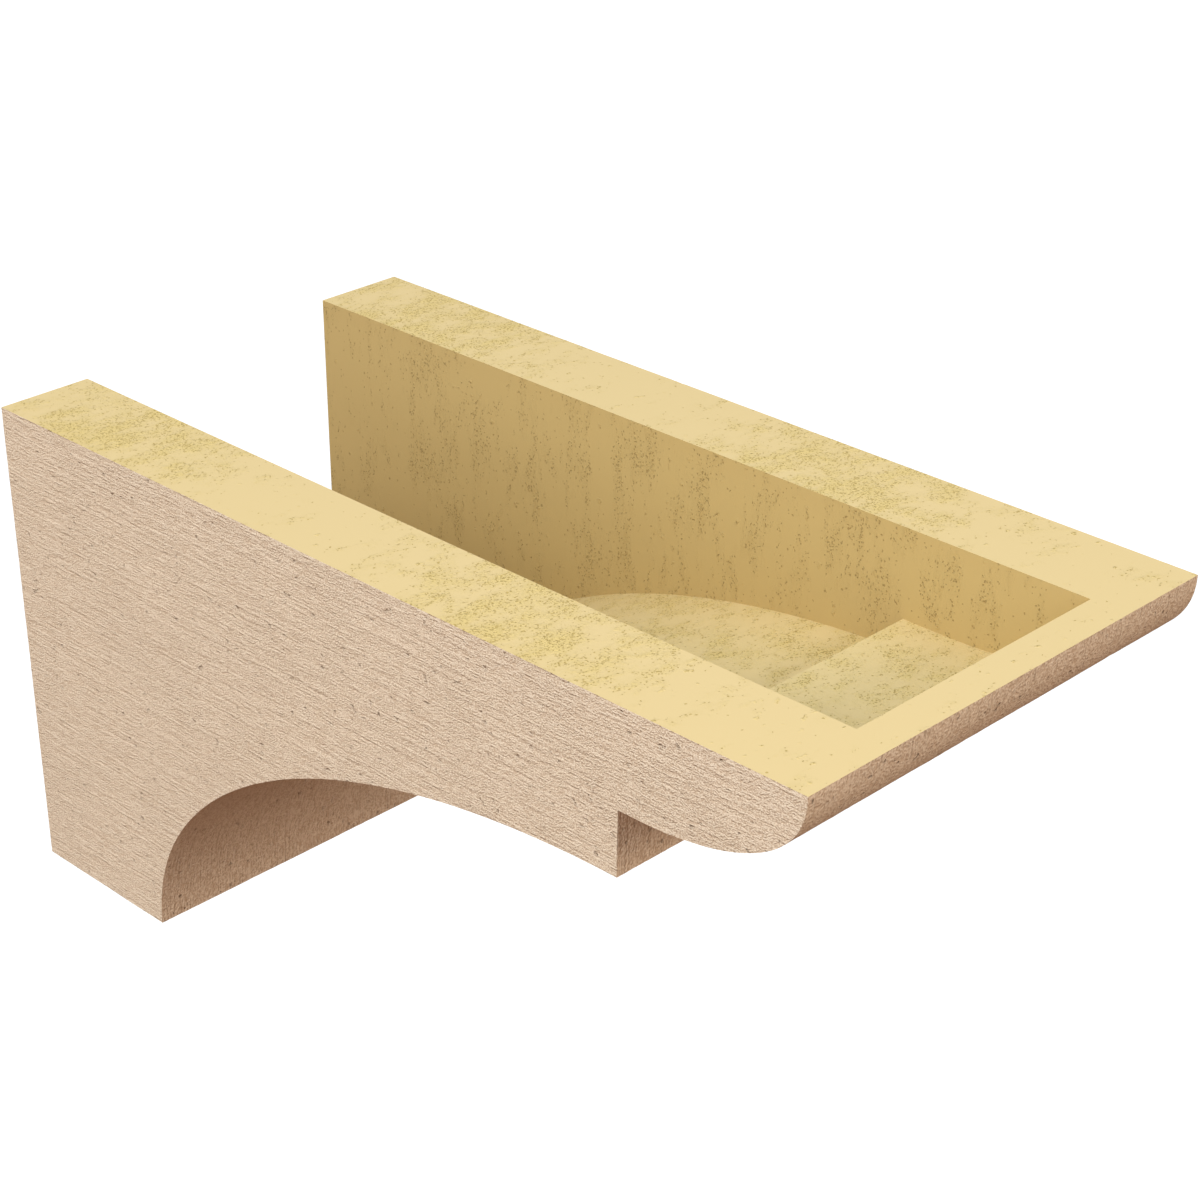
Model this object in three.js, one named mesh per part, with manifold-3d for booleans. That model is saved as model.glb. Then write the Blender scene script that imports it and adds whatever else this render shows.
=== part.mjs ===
import * as THREE from 'three';
import { mergeVertices } from 'three/addons/utils/BufferGeometryUtils.js';
import Module from 'manifold-3d';

// A hollow corbel, moulded in one piece from rigid foam with a primed, sandblasted skin.
// The tall leg stands against the wall, the open top goes up against a beam or a soffit, and the
// arm reaches out over a hollowed underside to a small rounded nose. Millimetres, +Z up.
// The wall is the plane Y = 0, the nose points along -Y, and both halves about X = 0 are alike.

// Driving dimensions
const LENGTH = 508; // from the wall to the tip of the nose
const WIDTH = 254; // across both cheeks
const HEIGHT = 254; // from the foot of the leg to the top
const CHEEK = 50.8; // thickness of each side wall
const SHELL = 19.05; // thickness of the foot, the underside, the step and the rim of the nose
const LEG = 95.25; // how far the leg's foot stands out from the wall
const ARM_DEPTH = 79.375; // depth of the arm just before the step
const NOSE_LENGTH = 95.25; // from the step to the tip of the nose
const NOSE_DEPTH = 47.625; // depth of the nose just after the step
const NOSE_FLOOR = 3.175; // thickness of the shallow pocket's floor inside the nose

// How full the two rounded ends are: 2 is an ellipse, and more comes nearer to a square corner
const NOSE_FULLNESS = 2.35;
const POCKET_FULLNESS = 3.5;

// Flat pieces that each curve is made of
const COVE_FACETS = 56;
const NOSE_FACETS = 28;

// How far the hollow's cutting body stands out past the open faces
const CUT_OVERSHOOT = 10;

// Places that follow from the sizes. A profile's x runs out from the wall and its y up from the foot.
const STEP = LENGTH - NOSE_LENGTH;
const POCKET_STEP = STEP - SHELL;
const COVE_REACH = STEP - LEG;
const COVE_RISE = HEIGHT - ARM_DEPTH;
const QUARTER_TURN = Math.PI / 2;

const wasm = await Module();
wasm.setup();

// A closed three.js geometry as a manifold solid
function toSolid(geometry) {
  const plain = geometry.clone();
  plain.deleteAttribute('normal');
  plain.deleteAttribute('uv');
  const merged = mergeVertices(plain);
  const mesh = new wasm.Mesh({
    numProp: 3,
    vertProperties: new Float32Array(merged.attributes.position.array),
    triVerts: new Uint32Array(merged.index.array),
  });
  return new wasm.Manifold(mesh);
}

// A manifold solid as a three.js geometry with flat faces
function toGeometry(solid) {
  const mesh = solid.getMesh();
  const geometry = new THREE.BufferGeometry();
  geometry.setAttribute('position', new THREE.BufferAttribute(mesh.vertProperties, 3));
  geometry.setIndex(new THREE.BufferAttribute(mesh.triVerts, 1));
  const flat = geometry.toNonIndexed();
  flat.computeVertexNormals();
  return flat;
}

// A point of the cove under the arm: a quarter ellipse about the step's foot line, vertical at the
// leg (angle 0) and level at the step (a quarter turn), moved into the foam by an inset
function covePoint(angle, inset) {
  const across = Math.cos(angle);
  const upward = Math.sin(angle);
  const intoFoam = new THREE.Vector2(-across / COVE_REACH, upward / COVE_RISE).normalize();
  return new THREE.Vector2(STEP - COVE_REACH * across, COVE_RISE * upward).addScaledVector(intoFoam, inset);
}

// The cove from one angle to another
function covePoints(start, end, inset) {
  const points = [];
  for (let i = 0; i <= COVE_FACETS; i++) {
    points.push(covePoint(start + ((end - start) * i) / COVE_FACETS, inset));
  }
  return points;
}

// The angle at which a measure that grows along the cove reaches a limit, found by halving
function coveAngleWhere(measure, limit) {
  let low = 0;
  let high = QUARTER_TURN;
  for (let halving = 0; halving < 40; halving++) {
    const middle = (low + high) / 2;
    if (measure(covePoint(middle, SHELL)) < limit) {
      low = middle;
    } else {
      high = middle;
    }
  }
  return high;
}

// A rounded end: a quarter superellipse that leaves its start level and meets the top upright
function nosePoints(start, depth, fullness) {
  const points = [];
  for (let i = 0; i <= NOSE_FACETS; i++) {
    const angle = (QUARTER_TURN * i) / NOSE_FACETS;
    const out = NOSE_LENGTH * Math.sin(angle) ** (2 / fullness);
    const down = depth * Math.cos(angle) ** (2 / fullness);
    points.push(new THREE.Vector2(start + out, HEIGHT - down));
  }
  return points;
}

// The outer side profile: leg, cove, step and nose
function outerProfile() {
  return new THREE.Shape([
    new THREE.Vector2(0, HEIGHT),
    new THREE.Vector2(0, 0),
    ...covePoints(0, QUARTER_TURN, 0),
    ...nosePoints(STEP, NOSE_DEPTH, NOSE_FULLNESS),
  ]);
}

// The profile of the hollow: it keeps the shell's thickness behind the foot, the cove and the step,
// and ends in a shallow pocket in the nose. It is open to the wall and at the top.
function hollowProfile() {
  const aboveFoot = coveAngleWhere((point) => point.y, SHELL);
  const atPocketStep = coveAngleWhere((point) => point.x, POCKET_STEP);
  return new THREE.Shape([
    new THREE.Vector2(-CUT_OVERSHOOT, HEIGHT + CUT_OVERSHOOT),
    new THREE.Vector2(-CUT_OVERSHOOT, SHELL),
    ...covePoints(aboveFoot, atPocketStep, SHELL),
    ...nosePoints(POCKET_STEP, NOSE_DEPTH - NOSE_FLOOR, POCKET_FULLNESS),
    new THREE.Vector2(LENGTH - SHELL, HEIGHT + CUT_OVERSHOOT),
  ]);
}

// A side profile given its width, centred on X = 0, with the wall at Y = 0 and the foot at Z = 0
function acrossTheWidth(profile, width) {
  const geometry = new THREE.ExtrudeGeometry(profile, { depth: width, bevelEnabled: false });
  geometry.translate(0, 0, -width / 2);
  geometry.rotateX(QUARTER_TURN);
  geometry.rotateZ(-QUARTER_TURN);
  return geometry;
}

function corbel() {
  const block = toSolid(acrossTheWidth(outerProfile(), WIDTH));
  const hollow = toSolid(acrossTheWidth(hollowProfile(), WIDTH - 2 * CHEEK));
  const primedFoam = new THREE.MeshStandardMaterial({ color: 0xd9bba0, roughness: 0.9, metalness: 0 });
  const mesh = new THREE.Mesh(toGeometry(block.subtract(hollow)), primedFoam);
  mesh.name = 'corbel';
  return mesh;
}

// The origin is on the wall, in the middle of the foot's edge
const part = new THREE.Group();
const moulding = corbel();
moulding.position.z = -SHELL / 2;
part.add(moulding);

export default part;
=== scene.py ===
# %% [markdown]
# # A hollow moulded corbel
#
# This lesson dresses one moulding of rigid foam. Outside it wears a tan factory primer over a
# sandblasted wood grain. On its open top, at its wall end and in its hollow the pale yellow foam is
# bare.
#
# The moulding could be made from a plain extrusion with a displacement modifier, but the grain has
# to turn with the surface: along the side walls, and down the cove, the step and the nose. So the
# whole surface is worked out here as arrays, and it closes on itself like the real moulding does.

import math

import bpy
import numpy as np
from mathutils import Euler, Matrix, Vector


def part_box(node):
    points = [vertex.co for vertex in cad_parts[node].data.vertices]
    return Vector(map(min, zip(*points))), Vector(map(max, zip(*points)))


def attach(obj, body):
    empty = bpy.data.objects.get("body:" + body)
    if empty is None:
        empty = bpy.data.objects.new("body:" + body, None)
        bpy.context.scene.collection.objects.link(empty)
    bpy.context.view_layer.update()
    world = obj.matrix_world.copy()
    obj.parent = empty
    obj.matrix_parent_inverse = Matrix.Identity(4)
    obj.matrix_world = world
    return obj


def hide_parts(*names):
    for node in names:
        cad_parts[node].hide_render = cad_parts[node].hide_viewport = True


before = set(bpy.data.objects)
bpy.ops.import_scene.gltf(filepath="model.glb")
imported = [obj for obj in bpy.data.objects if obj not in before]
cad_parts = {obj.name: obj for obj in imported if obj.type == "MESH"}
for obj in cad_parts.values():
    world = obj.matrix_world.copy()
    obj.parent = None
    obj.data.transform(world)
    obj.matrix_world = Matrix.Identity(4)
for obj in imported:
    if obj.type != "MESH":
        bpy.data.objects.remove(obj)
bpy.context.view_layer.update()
low, high = (np.array(corner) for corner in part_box("corbel"))
print("corbel box", low.round(4), high.round(4))

# %% [markdown]
# ## The camera
#
# The photograph looks down on the nose end from the left, 30 degrees above the level, through a
# fairly long lens. Its vanishing points don't meet about the picture's middle, so the picture is a
# part of a larger view. The lens shift gives that, and keeps the upright edges as they are.

# %% Camera
CAMERA_TURN = -45.0
CAMERA_HEIGHT_ANGLE = 30.0
CAMERA_PLACE = (-0.7654, -1.0184, 0.7423)
PICTURE_SIDE = 1200
FOCAL_PIXELS = 2623.0
AXIS_PIXEL = (558.9, 728.3)
SENSOR_MM = 36.0

lens = bpy.data.cameras.new("photo_camera")
lens.sensor_width = SENSOR_MM
lens.lens = FOCAL_PIXELS / PICTURE_SIDE * SENSOR_MM
lens.shift_x = (PICTURE_SIDE / 2 - AXIS_PIXEL[0]) / PICTURE_SIDE
lens.shift_y = (AXIS_PIXEL[1] - PICTURE_SIDE / 2) / PICTURE_SIDE
camera = bpy.data.objects.new("photo_camera", lens)
camera.location = CAMERA_PLACE
camera.rotation_euler = Euler((math.radians(90 - CAMERA_HEIGHT_ANGLE), 0, math.radians(CAMERA_TURN)))
bpy.context.scene.collection.objects.link(camera)
bpy.context.scene.camera = camera
print(f"lens {lens.lens:.1f} mm, shift {lens.shift_x:.3f} {lens.shift_y:.3f}")

# %% [markdown]
# ## Sizes
#
# The overall sizes come from the frame, so the finished surface can't leave the solid's box. The
# profile is drawn in two numbers: how far a point is out from the wall, and how high it is above
# the foot.

# %% Sizes in metres
LENGTH = high[1] - low[1]
WIDTH = high[0] - low[0]
HEIGHT = high[2] - low[2]
CHEEK = 0.0508
SHELL = 0.01905
LEG = 0.09525
ARM_DEPTH = 0.079375
NOSE_LENGTH = 0.09525
NOSE_DEPTH = 0.047625
NOSE_FLOOR = 0.003175
NOSE_FULLNESS = 2.35
POCKET_FULLNESS = 3.5

STEP = LENGTH - NOSE_LENGTH
COVE_REACH = STEP - LEG
COVE_RISE = HEIGHT - ARM_DEPTH
QUARTER = math.pi / 2
print(f"length {LENGTH:.3f} width {WIDTH:.3f} height {HEIGHT:.3f}, step at {STEP:.4f}")

# %% [markdown]
# ## The profile's curves
#
# The cove is a quarter of an ellipse, upright at the leg and level at the step. The hollow follows
# it at the shell's thickness, measured square to the curve, so its points are the ellipse's own
# points moved along their normals. The nose is a quarter of a superellipse: fuller than an ellipse,
# as if the corner of a block had been well eased.

# %% Curves


def cove(angles, inset=0.0):
    """Points (out, up) of the cove: the ellipse's centre lies below the step at foot height. A point
    is the centre minus reach times cosine, plus rise times sine, moved along its normal by inset."""
    across, upward = np.cos(angles), np.sin(angles)
    normal = np.stack([-across / COVE_REACH, upward / COVE_RISE], axis=-1)
    normal /= np.linalg.norm(normal, axis=-1, keepdims=True)
    return np.stack([STEP - COVE_REACH * across, COVE_RISE * upward], axis=-1) + inset * normal


def rounded_end(start, depth, fullness, count):
    """Points (out, up) of a rounded end: start plus length times sine to the power 2 / fullness, and
    the top minus depth times cosine to the same power. It starts level and ends upright."""
    angles = np.linspace(0, QUARTER, count)
    out = start + NOSE_LENGTH * np.sin(angles) ** (2 / fullness)
    up = HEIGHT - depth * np.clip(np.cos(angles), 0, 1) ** (2 / fullness)
    up[-1] = HEIGHT
    return np.stack([out, up], axis=-1)


def evenly(points, count):
    """The same line with count + 1 points at equal distances along it."""
    steps = np.linalg.norm(np.diff(points, axis=0), axis=1)
    travelled = np.concatenate([[0], np.cumsum(steps)])
    wanted = np.linspace(0, travelled[-1], count + 1)
    return np.stack([np.interp(wanted, travelled, points[:, axis]) for axis in (0, 1)], axis=-1)


print(f"the cove reaches {COVE_REACH:.3f} m out and {COVE_RISE:.3f} m up")

# %% [markdown]
# ## The outer profile in four runs
#
# Foot, cove, step and nose are sampled by themselves, so that every corner between them is a point
# of its own and stays sharp. About 2.6 mm between the points lets the grain be real relief, and
# keeps the piece under 200,000 triangles.

# %% Outer profile
FINE = 2000
RUNS = {
    "foot": (np.array([[0, 0], [LEG, 0]]), 36),
    "cove": (cove(np.linspace(0, QUARTER, FINE)), 152),
    "step": (np.array([[STEP, COVE_RISE], [STEP, HEIGHT - NOSE_DEPTH]]), 12),
    "nose": (rounded_end(STEP, NOSE_DEPTH, NOSE_FULLNESS, FINE), 50),
}
run_points = [evenly(line, count) for line, count in RUNS.values()]
profile = np.concatenate([run_points[0]] + [points[1:] for points in run_points[1:]])
corners = np.cumsum([count for _, count in RUNS.values()])
travel = np.concatenate([[0], np.cumsum(np.linalg.norm(np.diff(profile, axis=0), axis=1))])
print(f"{len(profile)} stations over {travel[-1]:.3f} m, corners at {corners.tolist()}")

# %% [markdown]
# ## Waves on a lattice
#
# Wood grain is a random thing with a direction. Gradient noise gives the randomness: each crossing
# of a unit lattice gets a slope that points some way, and between the crossings the slopes blend
# smoothly. Stretching the lattice along the grain turns the blobs into streaks, and letting a slow
# wave push the streaks sideways makes them wander like real grain does.

# %% Gradient noise
LATTICE = 256
SPREAD = 1.5


def waves(along, across, seed):
    """Gradient noise between about -1 and 1. Each lattice crossing holds a unit slope, and the four
    slopes round a point, each times the way from its crossing, are blended by the ease curve
    6t^5 - 15t^4 + 10t^3."""
    turn = np.random.default_rng(seed).uniform(0, 2 * math.pi, (LATTICE, LATTICE))
    cell_a, cell_b = np.floor(along).astype(int), np.floor(across).astype(int)
    part_a, part_b = along - cell_a, across - cell_b
    ease_a = part_a ** 3 * (part_a * (part_a * 6 - 15) + 10)
    ease_b = part_b ** 3 * (part_b * (part_b * 6 - 15) + 10)

    def pull(step_a, step_b):
        angle = turn[(cell_a + step_a) % LATTICE, (cell_b + step_b) % LATTICE]
        return np.cos(angle) * (part_a - step_a) + np.sin(angle) * (part_b - step_b)

    near = pull(0, 0) * (1 - ease_a) + pull(1, 0) * ease_a
    far = pull(0, 1) * (1 - ease_a) + pull(1, 1) * ease_a
    return SPREAD * (near * (1 - ease_b) + far * ease_b)


print(f"a lattice of {LATTICE} by {LATTICE} slopes, its waves made {SPREAD} times as strong")

# %% [markdown]
# ## The sandblasted relief
#
# Blasting eats the soft early wood and leaves the hard lines standing. So the relief only goes
# inwards from the moulding's true faces, by less than a millimetre: low ridges of two sizes that
# wander a little, calmer and rougher patches, and a few short pits. A sculpted surface or a
# displacement picture would do too, but neither could be changed by a number. What is finer than
# the mesh follows later as bump in the finish. Each size below is a length along the grain and a
# length across it, in metres.

# %% Relief
RELIEF = 0.00030
PIT_DEPTH = 0.0018
SLOW_BEND, SLOW_PUSH = (0.060, 0.035), 0.0022
QUICK_BEND, QUICK_PUSH = (0.014, 0.011), 0.0005
WIDE_RIDGE, WIDE_SHARE = (0.050, 0.0080), 0.40
NARROW_RIDGE, NARROW_SHARE = (0.020, 0.0034), 0.75
PATCH, PATCH_SWING = (0.090, 0.050), 0.9
MEAN_ROUGHNESS, LEAST_ROUGHNESS = 0.65, 0.25
PIT, PIT_LEVEL = (0.0055, 0.0042), 0.74


def sized_waves(size, along, across, seed):
    """Waves whose humps have the given length along and across the grain."""
    return waves(along / size[0], across / size[1], seed)


def relief(along, across, seed):
    """How deep the surface lies below its true face, in metres. Along and across are metres measured
    along and across the grain. The depth is the relief times the patch's roughness times how far the
    point lies below the ridges, and the pits come on top of that."""
    line = across + SLOW_PUSH * sized_waves(SLOW_BEND, along, across, seed)
    line = line + QUICK_PUSH * sized_waves(QUICK_BEND, along, across, seed + 1)
    wide = sized_waves(WIDE_RIDGE, along, line, seed + 2)
    narrow = sized_waves(NARROW_RIDGE, along, line, seed + 3)
    rough = MEAN_ROUGHNESS + PATCH_SWING * sized_waves(PATCH, along, across, seed + 4)
    rough = np.clip(rough, LEAST_ROUGHNESS, 1.0)
    pits = np.clip(sized_waves(PIT, along, across, seed + 5) - PIT_LEVEL, 0, 1)
    hills = 0.5 + 0.5 * np.clip(WIDE_SHARE * wide + NARROW_SHARE * narrow, -1, 1)
    return RELIEF * rough * (1 - hills) + PIT_DEPTH * pits


print(f"relief up to {1000 * RELIEF:.2f} mm deep, and deeper in the pits")

# %% [markdown]
# ## The skin as one grid
#
# The skin is a function of two parameters. One runs out along the profile, from the wall to the tip
# of the nose. The other runs round the moulding: down the left side, across underneath and up the
# right side. On a side wall, the rows lie on straight lines from the profile up to the top edge.

# %% Skin grid
SIDE_ROWS = 130
UNDER_ROWS = 108
stations = len(profile) - 1
top_out = LENGTH * travel / travel[-1]


def place(out, up, sideways):
    """Metres out from the wall, up from the foot and sideways, as a point of the frame."""
    out, up, sideways = np.broadcast_arrays(out, up, sideways)
    return np.stack([sideways, high[1] - out, low[2] + up], axis=-1)


climb = np.linspace(0, 1, SIDE_ROWS + 1)
side_out = profile[:, :1] + (top_out[:, None] - profile[:, :1]) * climb
side_up = profile[:, 1:] + (HEIGHT - profile[:, 1:]) * climb
under_side = np.linspace(-WIDTH / 2, WIDTH / 2, UNDER_ROWS + 1)

# %% [markdown]
# The profile's own normal says which way is into the foam underneath. At a corner it is the mean of
# its two neighbours', which keeps the corner's edge in line.

# %% Which way is inwards
tangent = np.gradient(profile, axis=0)
inward = np.stack([-tangent[:, 1], tangent[:, 0]], axis=-1)
inward[0] = (0, 1)
inward[-1] = (-1, 0)
inward /= np.linalg.norm(inward, axis=-1, keepdims=True)

left_depth = relief(side_out, side_up, seed=11)
right_depth = relief(side_out, side_up, seed=37)
under_depth = relief(travel[:, None] + np.zeros_like(under_side), under_side + WIDTH, seed=71)
print(f"relief {1000 * left_depth.min():.2f} to {1000 * left_depth.max():.2f} mm deep")

# %% [markdown]
# An edge belongs to two faces, so its points move with both reliefs. That makes the long edges
# slightly worn, as the photograph shows them, and no gap can open between the faces.

# %% Put the three faces together
under_push = under_depth[..., None] * np.stack(
    [np.zeros(stations + 1), -inward[:, 0], inward[:, 1]], axis=-1)[:, None, :]
under = place(profile[:, :1], profile[:, 1:], under_side) + under_push
left = place(side_out, side_up, -WIDTH / 2 + left_depth)
right = place(side_out, side_up, WIDTH / 2 - right_depth)
left[:, 0] += under_push[:, 0]
right[:, 0] += under_push[:, -1]
under[:, 0, 0] = left[:, 0, 0]
under[:, -1, 0] = right[:, 0, 0]
skin = np.concatenate([left[:, :0:-1], under, right[:, 1:]], axis=1)
rows = skin.shape[1] - 1
print(f"skin grid {skin.shape[0]} by {skin.shape[1]} points")

# %% [markdown]
# ## The hollow
#
# The hollow's floor is a ruled surface: one profile, repeated at both side walls, with straight
# lines between. It starts on the foot, climbs behind the cove, steps up square behind the outer
# step and ends as a shallow pocket in the nose.

# %% Hollow profile
HOLLOW_COVE_POINTS = 160
HOLLOW_NOSE_POINTS = 60
POCKET_STEP = STEP - SHELL
fine_cove = cove(np.linspace(0, QUARTER, FINE), SHELL)
start_out = np.interp(SHELL, fine_cove[:, 1], fine_cove[:, 0])
end_up = np.interp(POCKET_STEP, fine_cove[:, 0], fine_cove[:, 1])
inside = (fine_cove[:, 1] > SHELL) & (fine_cove[:, 0] < POCKET_STEP)
hollow_cove = evenly(
    np.concatenate([[(start_out, SHELL)], fine_cove[inside], [(POCKET_STEP, end_up)]]),
    HOLLOW_COVE_POINTS)
hollow_nose = evenly(rounded_end(POCKET_STEP, NOSE_DEPTH - NOSE_FLOOR, POCKET_FULLNESS, FINE),
                     HOLLOW_NOSE_POINTS)
hollow = np.concatenate([[(0, SHELL)], hollow_cove, hollow_nose])
hollow_corners = [1, 1 + HOLLOW_COVE_POINTS, 2 + HOLLOW_COVE_POINTS]
inner = WIDTH / 2 - CHEEK
print(f"{len(hollow)} points along the hollow, between walls {2 * inner:.4f} m apart")

# %% [markdown]
# ## Close the surface
#
# Four flat faces close the moulding: the U-shaped top, the wall end and the two walls of the
# hollow. Each is one many-sided face whose corners are the grid's own points. At the tip of the
# nose the side walls run out to nothing, so their last row is one point and its faces are
# triangles. Every face names its corners anticlockwise as seen from outside, so that it looks out.

# %% Faces
grid = np.arange((stations + 1) * (rows + 1)).reshape(stations + 1, rows + 1)
first_under, last_under = SIDE_ROWS, SIDE_ROWS + UNDER_ROWS
grid[-1, :first_under] = grid[-1, first_under]
grid[-1, last_under + 1:] = grid[-1, last_under]
base = grid.size
floor_left = base + np.arange(len(hollow))
floor_right = floor_left + len(hollow)
rim_left, rim_right = base + 2 * len(hollow), base + 2 * len(hollow) + 1
points = np.concatenate([
    skin.reshape(-1, 3),
    place(hollow[:, 0], hollow[:, 1], -inner),
    place(hollow[:, 0], hollow[:, 1], inner),
    place(np.zeros(2), np.full(2, HEIGHT), np.array([-inner, inner])),
])


def quads(a, b, c, d):
    """Four index arrays as a list of four-sided faces."""
    return np.stack([a, b, c, d], axis=-1).reshape(-1, 4)


skin_quads = quads(grid[:-1, :-1], grid[:-1, 1:], grid[1:, 1:], grid[1:, :-1])
tip_doubled = skin_quads[:, 2] == skin_quads[:, 3]
tip_triangles = skin_quads[tip_doubled][:, :3]
hollow_quads = quads(floor_left[:-1], floor_left[1:], floor_right[1:], floor_right[:-1])
top_face = np.concatenate([
    grid[:, 0], grid[-1, first_under + 1:last_under], grid[::-1, -1],
    [rim_right, floor_right[-1], floor_left[-1], rim_left]])
wall_face = np.concatenate([grid[0], [rim_right, floor_right[0], floor_left[0], rim_left]])[::-1]
left_wall = np.concatenate([[rim_left], floor_left])[::-1]
right_wall = np.concatenate([[rim_right], floor_right])
print(f"{len(skin_quads)} skin faces, {len(tip_triangles)} at the tip, {len(hollow_quads)} in the hollow")

# %% [markdown]
# Every face remembers which part of the moulding it belongs to. An edge between two parts is a
# sharp edge, and all others are shaded smoothly, so arrises stay crisp and the grain flows.

# %% Which part each face belongs to
LEFT, RIGHT, FOOT, HOLLOW, TOP, WALL_END, WALL_LEFT, WALL_RIGHT = 0, 1, 2, 10, 20, 21, 22, 23
station_of = np.repeat(np.arange(stations), rows)
row_of = np.tile(np.arange(rows), stations)
run_of_station = np.searchsorted(corners, np.arange(stations), side="right")
skin_part = np.where(row_of < first_under, LEFT,
                     np.where(row_of >= last_under, RIGHT, FOOT + run_of_station[station_of]))
hollow_part = HOLLOW + np.searchsorted(hollow_corners, np.arange(len(hollow) - 1), side="right")
faces = (skin_quads[~tip_doubled].tolist() + tip_triangles.tolist() + hollow_quads.tolist()
         + [top_face.tolist(), wall_face.tolist(), left_wall.tolist(), right_wall.tolist()])
part_of_face = np.concatenate([skin_part[~tip_doubled], skin_part[tip_doubled], hollow_part,
                               [TOP, WALL_END, WALL_LEFT, WALL_RIGHT]])
print(f"{len(faces)} faces in {len(np.unique(part_of_face))} parts")

# %% [markdown]
# ## Finishes
#
# Both finishes are built from nodes on Object coordinates, which are metres here. They could be
# built by hand in the shader editor. In code, a small helper makes a node, sets its values and joins
# its inputs, so each finish reads as a recipe and its directions can share one.

# %% Start a finish
ROUGH_PRIMER, ROUGH_FOAM, ROUGH_PAINT = 0.86, 0.72, 1.0
REFRACTION, SHINE = 1.45, 0.25


def add(tree, kind, values=None, **settings):
    """A new node with its settings; values maps an input's name or number to a constant or a socket."""
    node = tree.nodes.new(kind)
    for name, value in settings.items():
        setattr(node, name, value)
    for key, value in (values or {}).items():
        if isinstance(value, bpy.types.NodeSocket):
            tree.links.new(value, node.inputs[key])
        else:
            node.inputs[key].default_value = value
    return node


def new_finish(name, roughness):
    """An empty finish with its shader and the place on the surface in metres."""
    finish = bpy.data.materials.new(name)
    finish.use_nodes = True
    tree = finish.node_tree
    tree.nodes.clear()
    values = {"Roughness": roughness, "IOR": REFRACTION, "Specular IOR Level": SHINE}
    shader = add(tree, "ShaderNodeBsdfPrincipled", values)
    output = add(tree, "ShaderNodeOutputMaterial", {"Surface": shader.outputs["BSDF"]})
    output.location = (400, 0)
    place_node = add(tree, "ShaderNodeTexCoord")
    return finish, tree, shader, place_node.outputs["Object"]


print(f"roughness: primer {ROUGH_PRIMER}, foam {ROUGH_FOAM}, floor paint {ROUGH_PAINT}")

# %% [markdown]
# The grain and the cells of the foam are noise, read at a place on the surface. A place that is
# stretched gives streaks, and one that is pushed about by other noise lets the streaks wander.

# %% Places and noise
MIDDLE = 0.5


def stretched(tree, spot, size):
    """The place on the surface, measured in streaks of the given size in metres along X, Y and Z."""
    node = add(tree, "ShaderNodeMapping", {"Vector": spot})
    node.inputs["Scale"].default_value = [1 / length for length in size]
    return node.outputs["Vector"]


def noise(tree, spot, detail=2.0, roughness=0.5):
    """Smooth noise between 0 and 1. Each step of detail adds a layer of half the size."""
    values = {"Vector": spot, "Scale": 1.0, "Detail": detail, "Roughness": roughness}
    return add(tree, "ShaderNodeTexNoise", values).outputs["Fac"]


def pushed(tree, spot, fineness, reach, detail, centre=MIDDLE):
    """The place on the surface, pushed about by coloured noise, whose three channels are three ways.
    Fineness is the number of humps in a metre, reach the push of a full channel in metres, and centre
    the channel's value that pushes nothing."""
    wander = add(tree, "ShaderNodeTexNoise", {"Vector": spot, "Scale": fineness, "Detail": detail})
    centred = add(tree, "ShaderNodeVectorMath", {0: wander.outputs["Color"], 1: (centre,) * 3},
                  operation="SUBTRACT").outputs[0]
    push = add(tree, "ShaderNodeVectorMath", {0: centred, "Scale": reach}, operation="SCALE").outputs[0]
    return add(tree, "ShaderNodeVectorMath", {0: spot, 1: push}, operation="ADD").outputs[0]


print(f"noise goes from 0 to 1, with its middle at {MIDDLE}")

# %% [markdown]
# The noises are then put together as numbers, and the sums choose between colours. So every layer
# keeps a weight of its own, which a painted texture would have mixed in for good.

# %% Numbers and colours


def between(tree, value, low_end, high_end, out_low=0.0, out_high=1.0):
    """A value's stretch from low_end to high_end, spread smoothly over out_low to out_high."""
    values = {"Value": value, "From Min": low_end, "From Max": high_end,
              "To Min": out_low, "To Max": out_high}
    return add(tree, "ShaderNodeMapRange", values, interpolation_type="SMOOTHSTEP").outputs["Result"]


def reckon(tree, operation, first, second=0.0, third=0.0):
    """Up to three numbers put together by a Math node. MULTIPLY_ADD is first times second plus third."""
    values = {0: first, 1: second, 2: third}
    return add(tree, "ShaderNodeMath", values, operation=operation).outputs["Value"]


def blend(tree, amount, first, second):
    """A colour mixed from two by an amount. On the Mix node, input 0 is the factor, and inputs 6 and 7
    are the colours."""
    first, second = (colour if isinstance(colour, bpy.types.NodeSocket) else (*colour, 1.0)
                     for colour in (first, second))
    values = {0: amount, 6: first, 7: second}
    return add(tree, "ShaderNodeMix", values, data_type="RGBA").outputs[2]


print("helpers:", between.__name__, reckon.__name__, blend.__name__)

# %% [markdown]
# ## The primer over the sandblasted grain
#
# Up close the primed face is a mass of fine grit, about a millimetre across. Low ridges two
# centimetres long and short dashes of a few millimetres cross it, with shallow pits here and there.
# A picture of real grain could do this, but noise stretched by a Mapping node has no seams and no
# end. The same recipe serves both directions of the grain, each with its own sizes of a streak along
# X, Y and Z, its own coat colour and its own depth; the underside's coat is painted darker and
# browner, as painted shade. The bump gives the ridges their light and shade, and the colour is
# painted darker and browner in the dashes and the pits, as painted shade in the grain's hollows.

# %% Primer finish
WANDER_FINENESS, WANDER_REACH = 35.0, 0.0028
CALM_PATCH = (0.045, 0.045, 0.045)
CALM, GRITTY = 0.90, 1.05
PATCH_EDGES, PIT_EDGES, FURROW_EDGES = (0.38, 0.62), (0.66, 0.80), (0.13, 0.38)
GRIT_BUMP, BAND_BUMP, RIDGE_BUMP, DASH_BUMP, PIT_BUMP = 0.58, 0.30, 0.50, 0.28, -0.8
RIDGE_SHADE, DASH_SHADE = 0.14, 0.40
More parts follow.
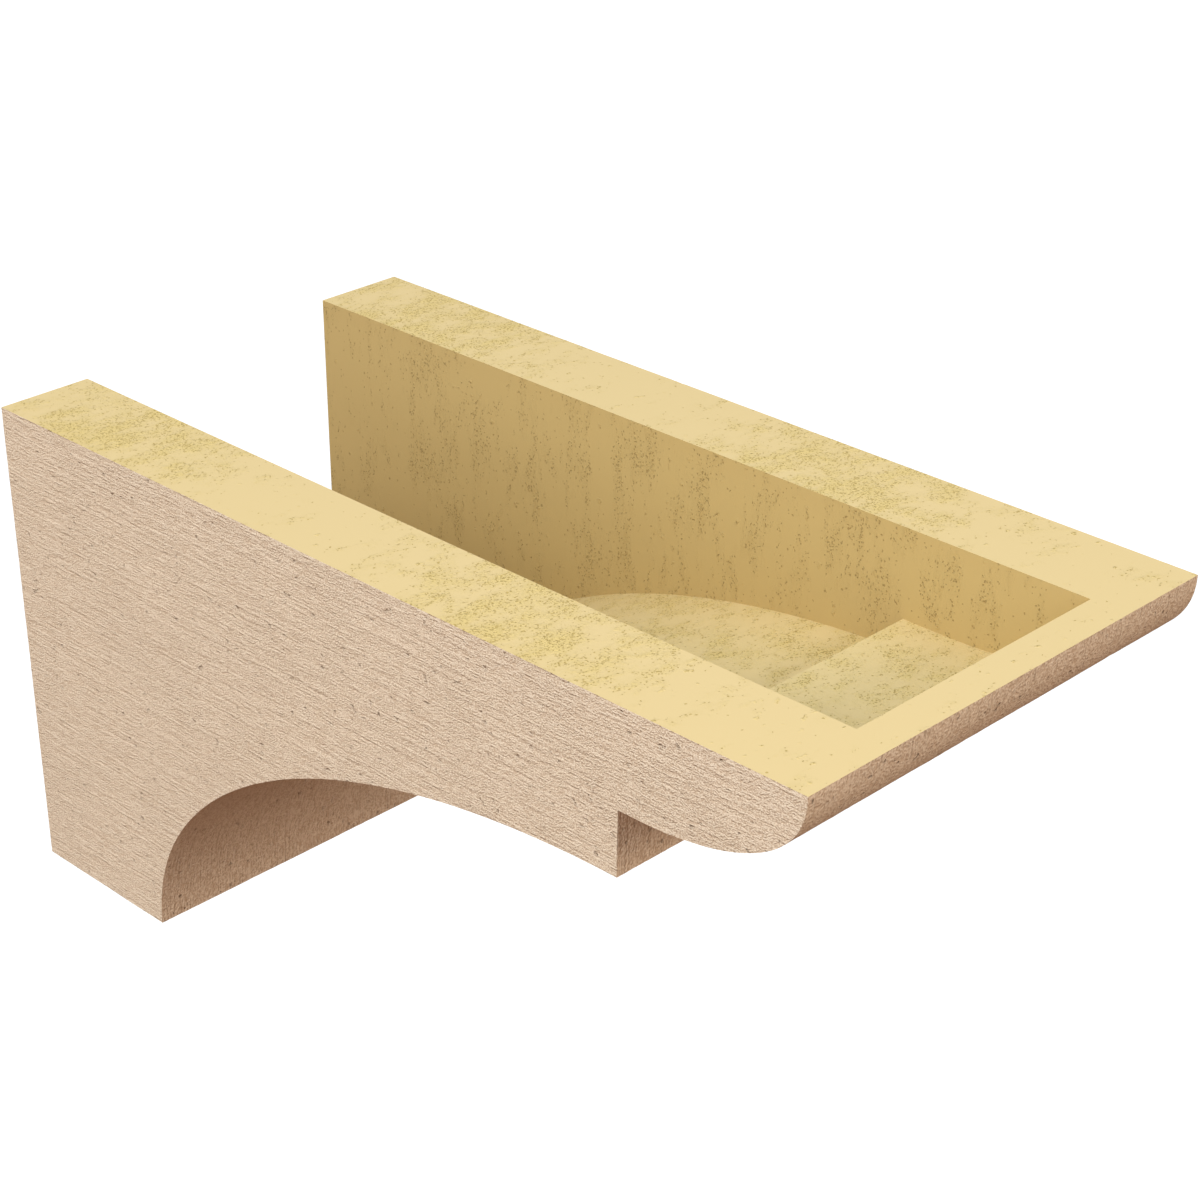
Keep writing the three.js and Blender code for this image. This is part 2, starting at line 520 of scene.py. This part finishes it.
# Painted shade: the coat colour is multiplied darker and browner in the grain's furrows and pits.
PAINTED_FURROW_SHADE, PAINTED_PIT_SHADE, PIT_SHADE = (0.80, 0.735, 0.68), (0.65, 0.57, 0.51), 0.55


def primer(name, coat, band, ridge, dash, grain, pit, depth, gritting):
    """Primer of one coat colour. The five sizes are the length on each axis of a wide band, a ridge,
    a short dash, a grain of the grit and a pit. Depth is the bump's, and gritting the grit's share."""
    finish, tree, shader, spot = new_finish(name, ROUGH_PRIMER)
    wavy = pushed(tree, spot, WANDER_FINENESS, WANDER_REACH, detail=1.0)
    patches = noise(tree, stretched(tree, spot, CALM_PATCH), detail=2.0)
    bands = noise(tree, stretched(tree, wavy, band), detail=1.0)
    ridges = noise(tree, stretched(tree, wavy, ridge), detail=1.0)
    dashes = noise(tree, stretched(tree, wavy, dash), detail=0.5)
    grit = noise(tree, stretched(tree, spot, grain), detail=0.5)
    pits = between(tree, noise(tree, stretched(tree, wavy, pit), detail=2.0), *PIT_EDGES)
    gritty = reckon(tree, "MULTIPLY", reckon(tree, "SUBTRACT", grit, MIDDLE),
                    between(tree, patches, *PATCH_EDGES, CALM * gritting, GRITTY * gritting))
    height = reckon(tree, "MULTIPLY_ADD", gritty, GRIT_BUMP, reckon(tree, "MULTIPLY", bands, BAND_BUMP))
    height = reckon(tree, "MULTIPLY_ADD", ridges, RIDGE_BUMP, height)
    height = reckon(tree, "MULTIPLY_ADD", dashes, DASH_BUMP, height)
    height = reckon(tree, "MULTIPLY_ADD", pits, PIT_BUMP, height)
    bump = add(tree, "ShaderNodeBump", {"Height": height, "Strength": 1.0, "Distance": depth})
    tree.links.new(bump.outputs["Normal"], shader.inputs["Normal"])

    # Painted shade: the colour darkens where the grit, ridges and dashes dip, and darker still in the
    # pits.
    hollows = reckon(tree, "MULTIPLY_ADD", ridges, RIDGE_SHADE, gritty)
    hollows = reckon(tree, "MULTIPLY_ADD", dashes, DASH_SHADE, hollows)
    furrow = between(tree, hollows, *FURROW_EDGES)
    shaded = blend(tree, furrow, np.multiply(coat, PAINTED_FURROW_SHADE), coat)
    pitted = blend(tree, reckon(tree, "MULTIPLY", pits, PIT_SHADE), shaded, np.multiply(coat, PAINTED_PIT_SHADE))
    tree.links.new(pitted, shader.inputs["Base Color"])
    return finish


primer_side = primer("primer_along_sides", coat=(0.885, 0.745, 0.577), band=(0.045, 0.045, 0.0050),
                     ridge=(0.024, 0.024, 0.0014), dash=(0.0040, 0.0040, 0.0010),
                     grain=(0.0009, 0.0009, 0.0007), pit=(0.0030, 0.0042, 0.0026),
                     depth=0.0016, gritting=1.0)
# The underside's coat is darker and browner than the side's: painted shade for the underside, which faces
# away from the light.
primer_under_painted_shade = primer("primer_down_profile_painted_shade", coat=(0.770, 0.584, 0.420), band=(0.0050, 0.045, 0.045),
                      ridge=(0.0014, 0.024, 0.024), dash=(0.0012, 0.0040, 0.0040),
                      grain=(0.0009, 0.0012, 0.0012), pit=(0.0030, 0.0042, 0.0042),
                      depth=0.0024, gritting=0.75)
print("primers", primer_side.name, primer_under_painted_shade.name)

# %% [markdown]
# ## The bare foam
#
# Where the moulding has no primer the foam shows: a pale warm yellow with a dull face. Crowds of tiny
# opened cells cross it as darker olive specks in a more yellow ground, ragged at their borders, with
# small blots and single cells in between. Plain noise cut off at a level runs together into clouds,
# so each cell is a round dot of its own, from the random cells of a Voronoi texture. The crowds lie
# across the top and run down the walls. On the top, which looks sawn, they come and go along the
# length, like the marks of a chattering blade.

# %% Foam finish
CHATTER_LENGTH, CHATTER_START = 0.272, 0.065
CROWD_EDGES = (0.52, 0.82)
BLOT_SIZE, BLOT_EDGES, BLOT_SHARE = (0.0060, 0.0045, 0.0060), (0.66, 0.78), 0.75
DOT_EDGES, DOT_SPREAD = (0.50, 0.36), 0.12
RAGGED_FINENESS, RAGGED_REACH = 500.0, 0.0016
CROWDED_SHARE, LONE_SHARE, CELL_TINT = 0.85, 0.006, 0.80
CRUMB_SIZE, CRUMB_BUMP, CELL_BUMP = (0.0011, 0.0009, 0.0011), 1.4, -0.5
FOAM_DEPTH = 0.0005


def dots(tree, spot, size, share, outside, inside):
    """Round dots in scattered cells of the given size in metres. A cell has its dot when its random
    number is under the share, and the dot fades between two distances from the cell's point. A second
    random number makes some dots smaller."""
    cells = add(tree, "ShaderNodeTexVoronoi", {"Vector": stretched(tree, spot, size), "Scale": 1.0})
    luck = add(tree, "ShaderNodeSeparateXYZ", {"Vector": cells.outputs["Color"]})
    reach = reckon(tree, "MULTIPLY_ADD", luck.outputs["Y"], DOT_SPREAD, cells.outputs["Distance"])
    return reckon(tree, "MULTIPLY", between(tree, reach, outside, inside),
                  reckon(tree, "LESS_THAN", luck.outputs["X"], share))


def foam(name, ground, stained, cell, cell_size, crowd_size, crowding, chatter):
    """Bare rigid foam: three colours, the size of a cell and of a crowd of cells on each axis, how much
    of the face is crowded, and how strongly the crowds follow a wave along the length."""
    finish, tree, shader, spot = new_finish(name, ROUGH_FOAM)
    crowds = noise(tree, stretched(tree, spot, crowd_size), detail=7.0, roughness=0.72)
    out = add(tree, "ShaderNodeSeparateXYZ", {"Vector": spot}).outputs["Y"]
    phase = reckon(tree, "ADD", out, CHATTER_START)
    phase = reckon(tree, "MULTIPLY", phase, 2 * math.pi / CHATTER_LENGTH)
    wave = reckon(tree, "MULTIPLY", reckon(tree, "COSINE", phase), chatter)
    low_edge, high_edge = (edge - crowding for edge in CROWD_EDGES)
    crowd = between(tree, reckon(tree, "ADD", crowds, wave), low_edge, high_edge)

    blots = noise(tree, stretched(tree, spot, BLOT_SIZE), detail=2.0)
    crowd = reckon(tree, "MAXIMUM", crowd, between(tree, blots, *BLOT_EDGES, 0.0, BLOT_SHARE))

    ragged = pushed(tree, spot, RAGGED_FINENESS, RAGGED_REACH, detail=0.0, centre=0.0)
    share = reckon(tree, "MULTIPLY_ADD", crowd, CROWDED_SHARE, LONE_SHARE)
    opened = dots(tree, ragged, cell_size, share, *DOT_EDGES)
    tinted = blend(tree, crowd, ground, stained)
    speckled = blend(tree, reckon(tree, "MULTIPLY", opened, CELL_TINT), tinted, cell)
    tree.links.new(speckled, shader.inputs["Base Color"])

    crumbs = noise(tree, stretched(tree, spot, CRUMB_SIZE), detail=1.0)
    raised = reckon(tree, "MULTIPLY", reckon(tree, "MULTIPLY", crumbs, crowd), CRUMB_BUMP)
    height = reckon(tree, "MULTIPLY_ADD", opened, CELL_BUMP, raised)
    bump = add(tree, "ShaderNodeBump", {"Height": height, "Strength": 1.0, "Distance": FOAM_DEPTH})
    tree.links.new(bump.outputs["Normal"], shader.inputs["Normal"])
    return finish


sawn_foam = foam("sawn_foam", ground=(0.795, 0.614, 0.304), stained=(0.800, 0.612, 0.248),
                 cell=(0.540, 0.375, 0.105), cell_size=(0.0012, 0.0010, 0.0012),
                 crowd_size=(0.020, 0.013, 0.013), crowding=0.07, chatter=0.11)
# The hollow's floor gets a slightly lighter copy of the foam: painted light, lifting the shade in the
# hollow.
floor_foam_painted_light = foam("moulded_foam_floor_painted_light", ground=(0.825, 0.656, 0.326), stained=(0.820, 0.646, 0.268),
                  cell=(0.540, 0.390, 0.120), cell_size=(0.0012, 0.0010, 0.0012),
                  crowd_size=(0.020, 0.013, 0.013), crowding=0.12, chatter=0.0)
# The walls of the hollow get a much darker copy of the foam: painted shade for the walls inside the
# hollow.
wall_foam_painted_shade = foam("moulded_foam_walls_painted_shade", ground=(0.570, 0.422, 0.178), stained=(0.558, 0.409, 0.166),
                 cell=(0.380, 0.258, 0.094), cell_size=(0.0010, 0.0009, 0.0012),
                 crowd_size=(0.030, 0.011, 0.036), crowding=0.05, chatter=0.0)
print("foams", sawn_foam.name, floor_foam_painted_light.name, wall_foam_painted_shade.name)

# %% [markdown]
# ## The piece
#
# One mesh stands for the one node. It could be five pieces, one for each finish, but the real
# moulding is one piece, so its two primed finishes and its three foam finishes lie on the same
# closed surface. The parts' numbers go up in the order of the finishes.

# %% Build the moulding
used, renumbered = np.unique(np.concatenate([np.array(face) for face in faces]), return_inverse=True)
sizes = np.array([len(face) for face in faces])
moulding_mesh = bpy.data.meshes.new("moulding")
face_lists = [part.tolist() for part in np.split(renumbered, np.cumsum(sizes)[:-1])]
moulding_mesh.from_pydata(points[used], [], face_lists)
moulding = bpy.data.objects.new("moulding", moulding_mesh)
bpy.context.scene.collection.objects.link(moulding)
for finish in (primer_side, primer_under_painted_shade, floor_foam_painted_light, sawn_foam, wall_foam_painted_shade):
    moulding_mesh.materials.append(finish)
print(f"{len(moulding_mesh.vertices)} points, {len(moulding_mesh.materials)} finishes")

# %% [markdown]
# Each face gets the number of its finish. Where the lowest and the highest part number of an edge's
# faces differ, the edge lies between two parts and is marked sharp.

# %% Finishes and sharp edges
finish_of_face = np.digitize(part_of_face, [FOOT, HOLLOW, TOP, WALL_LEFT])
moulding_mesh.polygons.foreach_set("material_index", finish_of_face.astype(np.int32))
moulding_mesh.polygons.foreach_set("use_smooth", part_of_face < TOP)

edge_of_loop = np.empty(len(moulding_mesh.loops), dtype=np.int32)
moulding_mesh.loops.foreach_get("edge_index", edge_of_loop)
part_of_loop = np.repeat(part_of_face, sizes)
lowest = np.full(len(moulding_mesh.edges), WALL_RIGHT)
highest = np.full(len(moulding_mesh.edges), LEFT)
np.minimum.at(lowest, edge_of_loop, part_of_loop)
np.maximum.at(highest, edge_of_loop, part_of_loop)
sharp = moulding_mesh.attributes.new("sharp_edge", "BOOLEAN", "EDGE")
sharp.data.foreach_set("value", lowest != highest)
moulding_mesh.update()
print(f"{(lowest != highest).sum()} sharp edges of {len(lowest)}")

# %% [markdown]
# Two numbers show whether the skin is sound. Each edge should belong to exactly two faces. The
# volume is the sum, over all triangles, of the small pyramid from the origin to each of them. It
# comes out as the foam's real volume only if every face looks outwards.

# %% Check the skin
shared = np.bincount(edge_of_loop, minlength=len(moulding_mesh.edges))
moulding_mesh.calc_loop_triangles()
corner_numbers = np.empty(3 * len(moulding_mesh.loop_triangles), dtype=np.int32)
moulding_mesh.loop_triangles.foreach_get("vertices", corner_numbers)
first, second, third = points[used][corner_numbers.reshape(-1, 3)].transpose(1, 0, 2)
volume = (first * np.cross(second, third)).sum() / 6
print(f"{len(corner_numbers) // 3} triangles, edges not shared by two faces: {(shared != 2).sum()}")
print(f"volume {1000 * volume:.2f} litres")

# %% [markdown]
# The moulding has no joints, so it rides on the one body there is, and it stands for the whole CAD
# solid.

# %% Hand the piece to the frame
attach(moulding, "root")
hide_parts("corbel")

# %% [markdown]
# ## Floor and light
#
# The photograph is a studio picture on pure white with no shadow under the corbel. A pale floor
# well below it gives that ground, and keeps the corbel's shadow out of the picture. It is very wide,
# so that its far edge stays hidden in a low view. It would also throw a lot of light up at the
# underside, which is deep brown in the photograph, so it is left out of the bounced light.

# %% Floor
FLOOR_DROP = 1.2
FLOOR_SIDE = 400.0
FLOOR_GLOW = 0.35
half = FLOOR_SIDE / 2
floor_level = low[2] - FLOOR_DROP
floor_mesh = bpy.data.meshes.new("floor")
floor_mesh.from_pydata([(-half, -half, floor_level), (half, -half, floor_level),
                        (half, half, floor_level), (-half, half, floor_level)], [], [(0, 1, 2, 3)])
floor = bpy.data.objects.new("floor", floor_mesh)
bpy.context.scene.collection.objects.link(floor)
paint, paint_tree, paint_shader, _ = new_finish("pale_floor", ROUGH_PAINT)
paint_shader.inputs["Base Color"].default_value = (0.95, 0.95, 0.95, 1.0)
paint_shader.inputs["Specular IOR Level"].default_value = 0.0
paint_shader.inputs["Emission Color"].default_value = (1.0, 1.0, 1.0, 1.0)
paint_shader.inputs["Emission Strength"].default_value = FLOOR_GLOW
floor_mesh.materials.append(paint)
floor.visible_diffuse = False
floor.visible_glossy = False
floor.visible_shadow = False
print(f"floor {floor_level:.2f} m high and {FLOOR_SIDE:.0f} m wide")

# %% [markdown]
# The light comes mostly from a bright studio ceiling all round, stronger from a window wall on the
# left. At the height of the horizon and below it the surroundings are dim and warm, which gives the
# underside its brown. They would show behind the corbel in a low view, so what the camera itself
# sees there is plain white paper, and the Light Path node picks that out.

# %% Studio surroundings
WINDOW = 1.26
WINDOW_REACH, WINDOW_SILL = (-0.11, -1.22), (-0.05, 0.3)
world = bpy.data.worlds.new("studio")
bpy.context.scene.world = world
world.use_nodes = True
sky = world.node_tree
sky.nodes.clear()
look = add(sky, "ShaderNodeTexCoord").outputs["Generated"]
parts = add(sky, "ShaderNodeSeparateXYZ", {"Vector": look})
ramp = add(sky, "ShaderNodeValToRGB", {"Fac": between(sky, parts.outputs["Z"], -1.0, 1.0)})
stops = ramp.color_ramp.elements
stops[0].color = (0.255, 0.168, 0.130, 1)
stops[1].color = (0.49, 0.55, 0.62, 1)
stops.new(0.12).color = (0.245, 0.150, 0.105, 1)
stops.new(0.40).color = (0.20, 0.075, 0.018, 1)
stops.new(0.50).color = (0.19, 0.055, 0.003, 1)
stops.new(0.55).color = (0.60, 0.41, 0.22, 1)
stops.new(0.62).color = (0.86, 0.83, 0.79, 1)
leftward = between(sky, parts.outputs["X"], *WINDOW_REACH)
above = between(sky, parts.outputs["Z"], *WINDOW_SILL)
window = reckon(sky, "MULTIPLY", reckon(sky, "MULTIPLY", leftward, above), WINDOW)
dome = add(sky, "ShaderNodeBackground", {"Color": ramp.outputs["Color"], "Strength": 1.0})
bright_side = add(sky, "ShaderNodeBackground", {"Color": (1, 1, 1, 1), "Strength": window})
both = add(sky, "ShaderNodeAddShader", {0: dome.outputs[0], 1: bright_side.outputs[0]})
paper = add(sky, "ShaderNodeBackground", {"Color": (1, 1, 1, 1), "Strength": 1.0})
seen = add(sky, "ShaderNodeLightPath").outputs["Is Camera Ray"]
shown = add(sky, "ShaderNodeMixShader", {0: seen, 1: both.outputs[0], 2: paper.outputs[0]})
add(sky, "ShaderNodeOutputWorld", {"Surface": shown.outputs[0]})
print(f"{len(stops)} colours from straight down to straight up")

# %% [markdown]
# Two soft disc lamps do the rest. The key rakes the left side from above, so that the grain stands
# out. The fill is warm, and shines from in front onto the rounded nose. It stands so high that it
# reaches no deeper into the cove than its foot.

# %% Lamps


def soft_lamp(name, place, target, size, watts, colour):
    """A round area lamp at a place, facing a target."""
    data = bpy.data.lights.new(name, "AREA")
    data.shape = "DISK"
    data.size = size
    data.energy = watts
    data.color = colour
    lamp = bpy.data.objects.new(name, data)
    lamp.location = place
    lamp.rotation_euler = (Vector(target) - Vector(place)).to_track_quat("-Z", "Y").to_euler()
    bpy.context.scene.collection.objects.link(lamp)
    return lamp


key = soft_lamp("key", place=(-1.9, -0.6, 1.9), target=(0, -0.25, 0.12), size=1.4, watts=22.0,
                colour=(1.0, 0.98, 0.96))
fill = soft_lamp("fill", place=(0.1, -2.7, 1.35), target=(0, -0.45, 0.2), size=0.7, watts=20.0,
                 colour=(1.0, 0.93, 0.79))
print("lamps", key.name, fill.name)

# %% [markdown]
# ## View
#
# Plain tone mapping shows the colours as they are lit.

# %% View
bpy.context.scene.view_settings.view_transform = "Standard"
